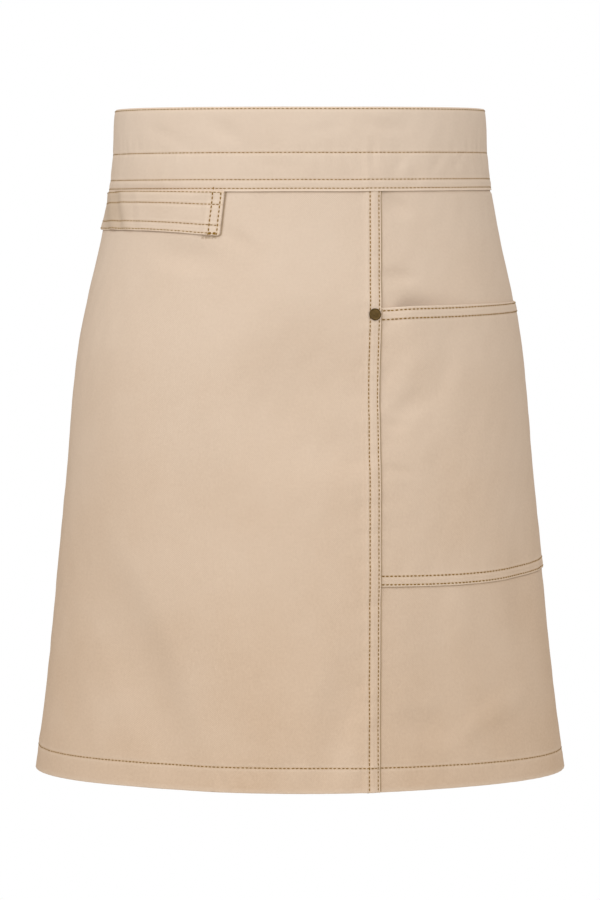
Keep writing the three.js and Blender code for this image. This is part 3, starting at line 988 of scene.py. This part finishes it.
# Colours as seen on a screen, and how far each tint goes
CLOTH_LIGHT = linear(214, 187, 161)
CLOTH_DARK = linear(184, 154, 125)
# Pale colour for worn edges, random paler patches and pale loose yarns, and for the painted highlight beside
# rows
CLOTH_WORN_AND_HIGHLIGHT = linear(228, 208, 189)
# Painted light: the cloth paler toward the waistband, as the lamps fall brighter there
CLOTH_TOP_LIGHT_PAINT = linear(207, 194, 182)
# Painted shade in creases along rows, under overlying edges and on the loose strap end; also the colour of
# the dark loose yarns
CLOTH_PAINTED_SHADE_AND_DARK_YARN = linear(128, 98, 46)
CLOTH_SEWN = linear(182, 142, 78)
THREAD_COLOUR = linear(160, 118, 34)
THREAD_DARK = linear(88, 62, 12)
BRASS_COLOUR = linear(100, 78, 42)
BRASS_DARK = linear(56, 43, 23)
FLOOR_COLOUR = linear(236, 235, 232)
DRIFT = 0.5
# How far the painted light pales the cloth at the top
TOP_LIGHT_SHARE = 0.50
# Tints read from attributes: paler wear at edges plus a painted highlight beside rows, an orange tint beside
# rows, and painted shade
WEAR_AND_PAINTED_LIGHT_TINTS = (("edge", 0.42, CLOTH_WORN_AND_HIGHLIGHT), ("sewn", 0.20, CLOTH_SEWN), ("painted_shade", 0.60, CLOTH_PAINTED_SHADE_AND_DARK_YARN))

# Sockets of a colour mix node
MIX_FIRST, MIX_SECOND, MIX_RESULT = 6, 7, 2


class Look:
    """A material and short ways to add nodes before its shader."""

    def __init__(self, name):
        self.material = bpy.data.materials.new(name)
        self.material.use_nodes = True
        self.shader = self.material.node_tree.nodes["Principled BSDF"]

    def feed(self, node, inputs):
        """Sets each input to its constant or links it to its socket."""
        for name, value in inputs.items():
            if isinstance(value, bpy.types.NodeSocket):
                self.material.node_tree.links.new(value, node.inputs[name])
            else:
                node.inputs[name].default_value = value
        return node

    def add(self, kind, inputs):
        return self.feed(self.material.node_tree.nodes.new("ShaderNode" + kind), inputs)

    def place(self):
        return self.add("TexCoord", {}).outputs["Object"]

    def noise(self, vector, scale, detail, roughness=0.5):
        inputs = {"Vector": vector, "Scale": scale, "Detail": detail, "Roughness": roughness}
        return self.add("TexNoise", inputs).outputs["Fac"]

    def scaled(self, value, low, high, start=0.0, end=1.0):
        """Maps a value between start and end to another range."""
        inputs = {"Value": value, "From Min": start, "From Max": end, "To Min": low, "To Max": high}
        return self.add("MapRange", inputs).outputs["Result"]

    def total(self, first, second):
        return self.add("Math", {0: first, 1: second}).outputs["Value"]

    def blend(self, factor, first, second):
        """Colour between two colours or sockets."""
        node = self.add("Mix", {})
        node.data_type = "RGBA"
        return self.feed(node, {"Factor": factor, MIX_FIRST: first, MIX_SECOND: second}).outputs[MIX_RESULT]

    def bump(self, height, strength, distance):
        bump = self.add("Bump", {"Height": height, "Strength": strength, "Distance": distance})
        self.feed(self.shader, {"Normal": bump.outputs["Normal"]})


def twill_cloth():
    """Beige cotton twill: slanting ribs, uneven yarns, paler worn edges, a painted highlight beside rows,
    painted shade in sewn creases and under overlying edges, and painted light paling the cloth toward the
    top.
    """
    look = Look("beige_twill")
    weave = look.add("UVMap", {})
    weave.uv_map = "weave"
    flat = weave.outputs["UV"]
    wave = {"Vector": flat, "Scale": RIB_SCALE, "Distortion": 1.6, "Detail": 2.0, "Detail Scale": 1.4}
    ribs = look.add("TexWave", wave)
    ribs.bands_direction = "DIAGONAL"
    ribs = ribs.outputs["Fac"]
    stretched = look.add("Mapping", {"Vector": flat, "Scale": YARN_STRETCH}).outputs["Vector"]
    yarns = look.noise(stretched, scale=700.0, detail=3.0)
    fibres = look.noise(flat, scale=420.0, detail=5.0, roughness=0.65)
    place = look.place()
    patches = look.noise(place, scale=14.0, detail=4.0)
    height = look.add("SeparateXYZ", {"Vector": place}).outputs["Z"]
    tone = look.total(look.scaled(ribs, low=-0.10, high=0.16), look.scaled(fibres, low=0.0, high=0.9))
    colour = look.blend(tone, CLOTH_LIGHT, CLOTH_DARK)
    colour = look.blend(look.scaled(patches, low=0.0, high=DRIFT), colour, CLOTH_WORN_AND_HIGHLIGHT)
    # Painted light: paler toward the waistband
    painted_top_light = look.scaled(height, low=0.0, high=TOP_LIGHT_SHARE, start=HEM_EDGE, end=BAND_TOP)
    colour = look.blend(painted_top_light, colour, CLOTH_TOP_LIGHT_PAINT)
    # Painted shade, painted highlight, wear and thread tint from the cloth's attributes
    for name, share, tint in WEAR_AND_PAINTED_LIGHT_TINTS:
        wear_and_painted_light = look.add("Attribute", {})
        wear_and_painted_light.attribute_name = name
        colour = look.blend(look.scaled(wear_and_painted_light.outputs["Fac"], low=0.0, high=share), colour, tint)
    rough = look.scaled(fibres, low=0.86, high=0.98)
    look.feed(look.shader, {"Base Color": colour, "Roughness": rough, "Specular IOR Level": 0.04})
    look.feed(look.shader, {"Sheen Weight": 0.02, "Sheen Roughness": 0.5})
    relief = look.total(look.scaled(ribs, low=0.0, high=0.6), look.scaled(yarns, low=0.0, high=0.6))
    look.bump(relief, strength=0.35, distance=0.0003)
    return look.material


def twisted_thread(name, light, dark):
    """Twisted thread, uneven between two colours."""
    look = Look(name)
    twist = look.noise(look.place(), scale=900.0, detail=3.0)
    look.feed(look.shader, {"Base Color": look.blend(twist, light, dark), "Roughness": 0.62})
    look.feed(look.shader, {"Specular IOR Level": 0.25, "Sheen Weight": 0.05})
    look.bump(twist, strength=0.4, distance=0.0002)
    return look.material


def aged_brass():
    """Dark antique brass, worn brighter in patches."""
    look = Look("aged_brass")
    tarnish = look.noise(look.place(), scale=520.0, detail=6.0)
    rough = look.scaled(tarnish, low=0.30, high=0.55)
    colour = look.blend(tarnish, BRASS_COLOUR, BRASS_DARK)
    look.feed(look.shader, {"Base Color": colour, "Roughness": rough, "Metallic": 0.9})
    look.bump(tarnish, strength=0.2, distance=0.0002)
    return look.material


def pale_floor():
    look = Look("pale_floor")
    look.feed(look.shader, {"Base Color": FLOOR_COLOUR, "Roughness": 0.8})
    return look.material


# Pieces


def lap_columns(steps):
    return [before_lap(step) for step in steps]


def panel_path(*covers):
    turn = HEM_EDGE + PLY
    inside = rows_between(turn, HEM_TOP, HEM_STEP, [HEM_STITCH])
    outside = rows_between(turn, PANEL_TOP, CLOTH_STEP, [HEM_STITCH, BAND_EDGE - COVER_STEP, *covers])
    return hem_path(inside, turn, outside, 2 * PLY)


def make_front_panel(cloth):
    beside_loop = np.linspace(*BESIDE_LOOP, BESIDE_LOOP_COLUMNS)
    left, right = FRONT_COLUMNS
    columns = fan(at_angle(-REAR_END), at_x(beside_loop[0] - BESIDE_LOOP_STEP), left)
    columns += [at_x(x) for x in beside_loop]
    columns += fan(at_x(beside_loop[-1] + BESIDE_LOOP_STEP), before_lap(LAP_RAMP), right)
    columns += lap_columns(LAP_STEPS)
    path = panel_path(*(np.linspace(LOOP[0].foot, LOOP[-1].foot, LOOP_FOOT_ROWS) - LOOP_SHADOW))
    return lay_cloth("front_cloth", FRONT, columns, path, front_covers, front_edges, PANEL_WALL, cloth)


def make_side_panel(cloth):
    columns = lap_columns(SIDE_STEPS) + fan(before_lap(SIDE_START), at_angle(REAR_END), SIDE_COLUMNS)
    path = panel_path(POCKET_EDGE - COVER_STEP, POCKET_EDGE - COVER_STEP - FOOT_SAG)
    return lay_cloth("side_cloth", SIDE, columns, path, side_covers, level_rows(HEM_EDGE), PANEL_WALL, cloth)


def make_pocket(cloth):
    columns = lap_columns(POCKET_STEPS) + fan(before_lap(POCKET_START), at_angle(POCKET_END), POCKET_COLUMNS)
    turn = POCKET_TOP - MOUTH_PLIES / 2
    outside = rows_between(POCKET_EDGE, turn, FINE_STEP, POCKET_STITCHES)
    inside = rows_between(POCKET_TOP - MOUTH_HEM, turn, FINE_STEP, MOUTH_STITCHES)
    path = top_fold_path(outside, turn, inside, MOUTH_PLIES)
    edges = level_rows(POCKET_TOP, POCKET_EDGE)
    return lay_cloth("pocket_cloth", POCKET, columns, path, pocket_covers, edges, POCKET_WALL, cloth)


def make_waistband(cloth):
    left, right = BAND_COLUMNS
    columns = fan(at_angle(-REAR_END), before_lap(LAP_RAMP), left) + lap_columns(LAP_STEPS)
    columns += lap_columns(BAND_STEPS) + fan(before_lap(-LAP_FADE), at_angle(REAR_END), right)
    turn = BAND_TOP - BAND_PLIES / 2
    rows = rows_between(BAND_EDGE, turn, FINE_STEP, BAND_STITCHES)
    path = top_fold_path(rows, turn, rows, BAND_PLIES)
    edges = level_rows(BAND_TOP, BAND_EDGE)
    return lay_cloth("band_cloth", BAND, columns, path, nothing_over, edges, PANEL_WALL, cloth)


def loop_columns():
    end = LOOP[-1]

    def before_end(distance):
        return lambda part: angle_at_x(loop_end_x(part) - distance, mix(end.foot, end.top, part))

    columns = fan(at_angle(LOOP_END), before_end(LOOP_END_LENGTH + LOOP_END_RAMP), LOOP_COLUMNS)
    return columns + [before_end(step) for step in LOOP_END_STEPS]


def loop_grid(parts, columns):
    angle = np.stack([column(parts) for column in columns], axis=1)
    row = loop_at(np.degrees(angle))
    return angle, mix(row["foot"], row["top"], parts[:, None])


def make_towel_loop(cloth):
    """A doubled strap, closed all round, its front end turned under."""
    tall = LOOP[0].top - LOOP[0].foot
    round_part = LOOP_PLIES / 2 / tall
    lines = [line * tall for line in LOOP_STITCHES]
    outside = rows_between(round_part * tall, (1 - round_part) * tall, FINE_STEP, lines) / tall
    inside = np.linspace(round_part, 1 - round_part, LOOP_INSIDE_ROWS)
    arc = np.linspace(0, math.pi, FOLD_STEPS + 1)[1:-1]
    parts = np.concatenate([
        outside,
        1 - round_part + round_part * np.sin(arc),
        inside[::-1],
        round_part - round_part * np.sin(arc),
        outside[:1],
    ])
    drops = np.concatenate([
        np.zeros(len(outside)),
        LOOP_PLIES / 2 * (1 - np.cos(arc)),
        np.full(len(inside), LOOP_PLIES),
        LOOP_PLIES / 2 * (1 + np.cos(arc)),
        [0.0],
    ])
    angle, height = loop_grid(parts, loop_columns())
    drop = np.broadcast_to(drops[:, None], angle.shape)
    mesh, places = grid_mesh("loop_cloth", cloth_point(angle, height, loop_face(angle, height, drop)))
    # Painted shade on the loose, rippled side end of the strap
    dark = LOOP_PAINTED_SHADE * loop_loose(form_point(angle, height)[..., 0]) ** 2
    edges = [(parts[:, None] - end) * tall for end in (0.0, 1.0)]
    edge = near([*edges, loop_end_distance(angle, height)], EDGE_WIDTH)
    set_wear_and_painted_light(mesh, places, loop_lines(angle, height), dark, edge)
    bm = bmesh.new()
    bm.from_mesh(mesh)
    bmesh.ops.remove_doubles(bm, verts=bm.verts, dist=SAME_POINT)
    open_ends = [line for line in bm.edges if line.is_boundary]
    bmesh.ops.holes_fill(bm, edges=open_ends, sides=0)
    bm.to_mesh(mesh)
    bm.free()
    return add_object("loop_cloth", mesh, cloth)


def make_tie(cloth):
    columns = fan(at_angle(REAR_END - TIE_TUCK), at_angle(360 - REAR_END + TIE_TUCK), TIE_COLUMNS)
    heights = rows_between(TIE_FOOT, TIE_TOP, FINE_STEP, TIE_STITCHES)
    path = heights, np.zeros(len(heights))
    return lay_cloth("tie_cloth", TIE, columns, path, nothing_over, level_rows(TIE_FOOT, TIE_TOP), PLY, cloth)


def make_rivet(brass):
    """Flat cap with a low rim, post and plate, turned about the rivet's axis."""
    height = np.array(RIVET_HEIGHT)
    angle = angle_at_x(np.array(RIVET_X), height)
    axis = Vector(form_normal(angle, height))
    seat = Vector(cloth_point(angle, height, np.array(0.0)))
    outline = [
        (0.0, PLATE_FOOT),
        (PLATE_RADIUS - PLATE_ROUND, PLATE_FOOT),
        (PLATE_RADIUS, PLATE_FOOT + PLATE_ROUND),
        (PLATE_RADIUS, PLATE_TOP),
        (POST_RADIUS, PLATE_TOP),
        (POST_RADIUS, CAP_BASE),
        (CAP_RADIUS - CAP_ROUND, CAP_BASE),
        (CAP_RADIUS, CAP_BASE + CAP_ROUND),
        (CAP_RADIUS, CAP_BASE + CAP_WALL),
        (CAP_RADIUS - CAP_ROUND, CAP_FACE),
        (CAP_RADIUS - RIM_CREST, CAP_FACE + RIM_RISE),
        (CAP_RADIUS - RIM_WIDTH, CAP_FACE),
        (CAP_RADIUS * CAP_FLAT, CAP_FACE),
        (CAP_RADIUS * CAP_RISE, CAP_FACE + RIM_RISE),
        (0.0, CAP_FACE + CAP_CROWN),
    ]
    bm = bmesh.new()
    chain = [bm.verts.new((radius, 0, along)) for radius, along in outline]
    geometry = chain + [bm.edges.new(ends) for ends in zip(chain, chain[1:])]
    bmesh.ops.spin(
        bm, geom=geometry, cent=(0, 0, 0), axis=(0, 0, 1), angle=math.tau, steps=RIVET_STEPS, use_merge=True
    )
    bmesh.ops.remove_doubles(bm, verts=bm.verts, dist=SAME_POINT)
    bmesh.ops.recalc_face_normals(bm, faces=bm.faces)
    turn = Vector((0, 0, 1)).rotation_difference(axis).to_matrix().to_4x4()
    bmesh.ops.transform(bm, matrix=Matrix.Translation(seat) @ turn, verts=bm.verts)
    mesh = bpy.data.meshes.new("rivet_cap")
    bm.to_mesh(mesh)
    bm.free()
    return add_object("rivet_cap", mesh, brass)


def round_form(start, end):
    return np.radians(np.linspace(start, end, ROUND_POINTS))


def rear_row_angle(heights, end, distance):
    """Angle of a row of stitches at a distance before an end round the form."""
    section = section_at(heights)
    return math.radians(end) - distance / ((section["half_width"] + section["back"]) / 2)


def from_lap(height, end):
    """Angles along a level row from the lap's edge to an end."""
    start = before_lap(-LAP_CLEAR)(np.array(height))
    return np.linspace(float(start), math.radians(end), LAP_POINTS)


def sew_waistband(piece, thread):
    around = round_form(-REAR_END + ROW_END, REAR_END - ROW_END)
    rows = [row_points(BAND, around, line, drop) for drop in (0.0, BAND_PLIES) for line in BAND_STITCHES]
    return sew("band_stitches", rows, piece, thread, seed=2, width=FINE_THREAD)


def sew_over_band(piece, thread):
    """The stitch with which the loop's inner end row runs on over the waistband's edge."""
    heights = np.linspace(*OVER_BAND_ROW, OVER_BAND_POINTS)
    loop_end = angle_at_x(LOOP_END_X_TOP - LOOP_END_STITCHES[1] - OVER_BAND_SHIFT, heights)
    return sew("over_band_stitch", [row_points(BAND, loop_end, heights)], piece, thread, seed=9)


def sew_front(piece, thread):
    heights = np.linspace(HEM_EDGE + HEM_CLEAR, BAND_EDGE + ROW_CLEAR, PANEL_POINTS)
    rows = [row_points(FRONT, before_lap(row)(heights), heights) for row in SEAM_STITCHES]
    lap = float(before_lap(SEAM_STITCHES[0])(np.array(HEM_STITCH)))
    around = np.linspace(math.radians(-REAR_END + ROW_END), lap, ROUND_POINTS)
    rows += [row_points(FRONT, around, HEM_STITCH, drop) for drop in (0.0, 2 * PLY)]
    rows.append(row_points(FRONT, -rear_row_angle(heights, REAR_END, REAR_STITCH), heights))
    return sew("front_stitches", rows, piece, thread, seed=3, width=SKIRT_THREAD)


def sew_side(piece, thread):
    around = from_lap(HEM_STITCH, REAR_END - ROW_END)
    heights = np.linspace(HEM_EDGE + HEM_CLEAR, BAND_EDGE - ROW_CLEAR, PANEL_POINTS)
    rows = [row_points(SIDE, around, HEM_STITCH)]
    rows.append(row_points(SIDE, rear_row_angle(heights, REAR_END, REAR_STITCH), heights))
    rows.append(row_points(SIDE, around, HEM_STITCH, 2 * PLY))
    return sew("side_stitches", rows, piece, thread, seed=5, width=SKIRT_THREAD)


def sew_pocket(piece, thread):
    rows = [row_points(POCKET, from_lap(line, POCKET_END - POCKET_ROW_END), line) for line in POCKET_STITCHES]
    heights = np.linspace(POCKET_EDGE + ROW_CLEAR, POCKET_TOP - ROW_CLEAR, POCKET_POINTS)
    rows.append(row_points(POCKET, rear_row_angle(heights, POCKET_END, ROW_INSET), heights))
    return sew("pocket_stitches", rows, piece, thread, seed=6)


def sew_loop(piece, thread):
    columns = loop_columns()[:LOOP_ROW_STOP]
    rows = []
    for line in LOOP_STITCHES:
        angle, height = loop_grid(np.array([line]), columns)
        rows.append(row_points(STRAP, angle[0], height[0]))
    return sew("loop_stitches", rows, piece, thread, seed=7, width=FINE_THREAD)


def sew_loop_end(piece, thread):
    """Two rows across the loop's end and a bar of close stitches at its foot."""
    end = LOOP[-1]
    parts = np.linspace(*LOOP_END_ROW, LOOP_END_POINTS)
    tack = np.linspace(LOOP_END_STITCHES[1] + BAR_TACK_PAST, LOOP_END_STITCHES[0], TACK_POINTS)
    rows = []
    for part, distance in [(parts, row) for row in LOOP_END_STITCHES] + [(part, tack) for part in BAR_TACK]:
        level = mix(end.foot, end.top, part)
        across = angle_at_x(loop_end_x(part) - distance, level)
        rows.append(row_points(STRAP, across, level))
    return sew("loop_end_stitches", rows, piece, thread, seed=10)


def fray_loop_end(piece, yarn):
    """Loose yarns of the loop's raw end, turned under, that show below its foot."""
    pick = np.random.default_rng(FRAY_SEED)
    foot = LOOP[-1].foot
    rows = []
    for x in np.linspace(FRAY_START, FRAY_END, FRAY_COUNT):
        slant = pick.uniform(-FRAY_SLANT, FRAY_SLANT)
        low = foot - FRAY_DROP * pick.uniform(FRAY_SHORTEST, 1.0)
        heights = np.linspace(low, foot + FRAY_TUCK, FRAY_POINTS)
        across = angle_at_x(LOOP_END_X_FOOT - x + np.linspace(slant, 0, FRAY_POINTS), heights)
        rows.append(row_points(FRONT, across, heights))
    return sew("loop_fray", rows, piece, yarn, seed=12, width=FINE_THREAD)


def sew_tie(piece, thread):
    around = round_form(REAR_END - TIE_TUCK, 360 - REAR_END + TIE_TUCK)
    rows = [row_points(TIE, around, line) for line in TIE_STITCHES]
    return sew("tie_stitches", rows, piece, thread, seed=8, width=FINE_THREAD)


# Studio

FLOOR_HEIGHT = -1.0
FLOOR_RADIUS = 1.4
FLOOR_SIDES = 96
CAMERA_PLACE = (0.0, -2.515, -0.0551)
CAMERA_PITCH = 4.46
CAMERA_LENS = 119.0
SENSOR_WIDTH = 36.0
Lamp = namedtuple("Lamp", "name place size power")
LAMPS = [
    Lamp("left", (-1.0, -0.9, 0.7), 0.9, 11.0),
    Lamp("right", (1.0, -0.9, 0.7), 0.9, 5.4),
    Lamp("front", (0.3, -2.3, 0.6), 1.5, 17.2),
    Lamp("back", (0.6, 2.4, 1.2), 2.0, 30.0),
]
LAMP_COLOUR = (0.95, 0.98, 1.0)
LAMP_AIM = (0.0, 0.0, -0.2)
ROOM_LIGHT = 0.50
ROOM_COLOUR = (1.0, 0.95, 0.88, 1.0)
WALL_LIGHT = 1.0
WALL_COLOUR = (1.0, 1.0, 1.0, 1.0)


def add_lamp(row):
    lamp = bpy.data.lights.new(row.name, "AREA")
    lamp.size = row.size
    lamp.energy = row.power
    lamp.color = LAMP_COLOUR
    light = bpy.data.objects.new(row.name, lamp)
    light.location = row.place
    light.rotation_euler = (Vector(LAMP_AIM) - Vector(row.place)).to_track_quat("-Z", "Y").to_euler()
    bpy.context.scene.collection.objects.link(light)


def add_floor():
    bm = bmesh.new()
    bmesh.ops.create_circle(bm, cap_ends=True, segments=FLOOR_SIDES, radius=FLOOR_RADIUS)
    bmesh.ops.translate(bm, verts=bm.verts, vec=(0, 0, FLOOR_HEIGHT))
    mesh = bpy.data.meshes.new("floor")
    bm.to_mesh(mesh)
    bm.free()
    mesh.materials.append(pale_floor())
    floor = bpy.data.objects.new("floor", mesh)
    bpy.context.scene.collection.objects.link(floor)


def add_room():
    """White behind the apron for the camera, a dimmer room as light."""
    world = bpy.data.worlds.new("studio")
    bpy.context.scene.world = world
    world.use_nodes = True
    nodes, links = world.node_tree.nodes, world.node_tree.links
    room = nodes["Background"]
    room.inputs["Color"].default_value = ROOM_COLOUR
    room.inputs["Strength"].default_value = ROOM_LIGHT
    wall = nodes.new("ShaderNodeBackground")
    wall.inputs["Color"].default_value = WALL_COLOUR
    wall.inputs["Strength"].default_value = WALL_LIGHT
    rays = nodes.new("ShaderNodeLightPath")
    choice = nodes.new("ShaderNodeMixShader")
    links.new(rays.outputs["Is Camera Ray"], choice.inputs["Fac"])
    links.new(room.outputs["Background"], choice.inputs[1])
    links.new(wall.outputs["Background"], choice.inputs[2])
    links.new(choice.outputs["Shader"], nodes["World Output"].inputs["Surface"])


def add_camera():
    lens = bpy.data.cameras.new("camera")
    lens.lens = CAMERA_LENS
    lens.sensor_width = SENSOR_WIDTH
    camera = bpy.data.objects.new("camera", lens)
    camera.location = CAMERA_PLACE
    camera.rotation_euler = (math.radians(90 - CAMERA_PITCH), 0.0, 0.0)
    bpy.context.scene.collection.objects.link(camera)
    bpy.context.scene.camera = camera


bpy.context.scene.view_settings.view_transform = "Standard"
add_camera()
add_room()
add_floor()
for lamp_row in LAMPS:
    add_lamp(lamp_row)

cloth = twill_cloth()
thread = twisted_thread("golden_thread", THREAD_COLOUR, THREAD_DARK)
yarn = twisted_thread("loose_yarn", CLOTH_WORN_AND_HIGHLIGHT, CLOTH_PAINTED_SHADE_AND_DARK_YARN)
brass = aged_brass()

front_cloth = make_front_panel(cloth)
side_cloth = make_side_panel(cloth)
pocket_cloth = make_pocket(cloth)
band_cloth = make_waistband(cloth)
loop_cloth = make_towel_loop(cloth)
tie_cloth = make_tie(cloth)
rivet_cap = make_rivet(brass)

band_stitches = sew_waistband(band_cloth, thread)
over_band_stitch = sew_over_band(band_cloth, thread)
front_stitches = sew_front(front_cloth, thread)
side_stitches = sew_side(side_cloth, thread)
pocket_stitches = sew_pocket(pocket_cloth, thread)
loop_stitches = sew_loop(loop_cloth, thread)
loop_end_stitches = sew_loop_end(loop_cloth, thread)
loop_fray = fray_loop_end(front_cloth, yarn)
tie_stitches = sew_tie(tie_cloth, thread)

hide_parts("front_panel")
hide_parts("side_panel")
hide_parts("pocket")
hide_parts("waistband")
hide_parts("towel_loop")
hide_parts("waist_tie")
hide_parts("rivet")
